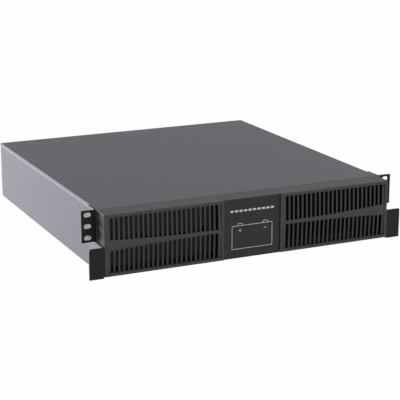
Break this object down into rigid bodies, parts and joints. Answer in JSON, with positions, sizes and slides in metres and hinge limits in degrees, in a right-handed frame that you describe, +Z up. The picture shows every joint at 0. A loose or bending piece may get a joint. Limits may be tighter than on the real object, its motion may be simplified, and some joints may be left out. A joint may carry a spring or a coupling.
{
  "type": "ups battery pack",
  "caption": "Rack-mount battery pack: low steel case, slotted black bezel with a plain centre panel, folded rack brackets, battery trays inside, rear outlets and breaker.",
  "frame": {"origin": "middle of the base of the bounding box", "axes": "+X to the viewer's right as seen from the front, front faces -Y, +Z up"},
  "size_m": [0.4826, 0.486, 0.088],
  "materials": {
    "case_paint": "grey powder paint",
    "inner_black": "matt black paint",
    "zinc_steel": "zinc-plated sheet",
    "rail_plastic": "natural nylon",
    "bezel_plastic": "fine-textured black moulding",
    "bracket_paint": "black powder paint, case grey on the side plate",
    "screw_steel": "zinc-plated",
    "screw_black": "black-plated",
    "battery_case": "moulded dark grey",
    "tab_metal": "tin-plated",
    "copper": "bare copper",
    "cable_red": "red insulation",
    "cable_black": "black insulation",
    "foam": "closed-cell foam",
    "plug_plastic": "moulded grey",
    "fuse_ceramic": "glazed ceramic",
    "breaker_plastic": "moulded black",
    "lever_plastic": "moulded light grey"
  },
  "bodies": {
    "case": {"chassis": "case_paint", "top_cover": "case_paint", "rear_panel": "case_paint", "front_plate": "inner_black", "battery_tray_left": "inner_black", "battery_tray_right": "inner_black", "tray_handle_left": "inner_black", "tray_handle_right": "inner_black", "centre_divider": "zinc_steel", "docking_bracket": "zinc_steel", "hold_down_bars": "zinc_steel", "tray_rails": "rail_plastic", "bezel_grille_left": "bezel_plastic", "bezel_grille_right": "bezel_plastic", "bezel_centre_panel": "bezel_plastic", "rack_bracket_left": "bracket_paint", "rack_bracket_right": "bracket_paint", "rack_bracket_screws": "screw_black", "front_plate_screws": "screw_black", "tray_screws": "screw_black", "rear_panel_screws": "screw_steel", "cover_screws": "screw_steel", "outlet_screws": "screw_steel", "ground_terminal": "screw_steel", "battery_left_1": "battery_case", "battery_left_2": "battery_case", "battery_left_3": "battery_case", "battery_left_4": "battery_case", "battery_right_1": "battery_case", "battery_right_2": "battery_case", "battery_right_3": "battery_case", "battery_right_4": "battery_case", "battery_tabs_positive": "tab_metal", "battery_tabs_negative": "tab_metal", "outlet_contacts": "tab_metal", "fuse_clips": "tab_metal", "breaker_studs": "tab_metal", "positive_busbar": "copper", "negative_busbar": "copper", "outlet_links": "copper", "tray_leads_positive": "cable_red", "fuse_feed_cables": "cable_red", "tray_leads_negative": "cable_black", "return_cables": "cable_black", "series_links": "cable_black", "breaker_feed_cables": "cable_black", "outlet_feed_cables": "cable_black", "foam_strips": "foam", "tray_plug_left": "plug_plastic", "tray_plug_right": "plug_plastic", "tray_socket_left": "plug_plastic", "tray_socket_right": "plug_plastic", "outlet_socket_1": "plug_plastic", "outlet_socket_2": "plug_plastic", "fuse_holders": "plug_plastic", "fuse_links": "fuse_ceramic", "breaker_body": "breaker_plastic"},
    "lever": {"breaker_lever": "lever_plastic"}
  },
  "joints": [
    {"name": "breaker_lever_turn", "type": "hinge", "parent": "case", "child": "lever", "pos_m": [-0.095, 0.2238, 0.044], "axis": [1, 0, 0], "range_deg": [0, 50]}
  ]
}
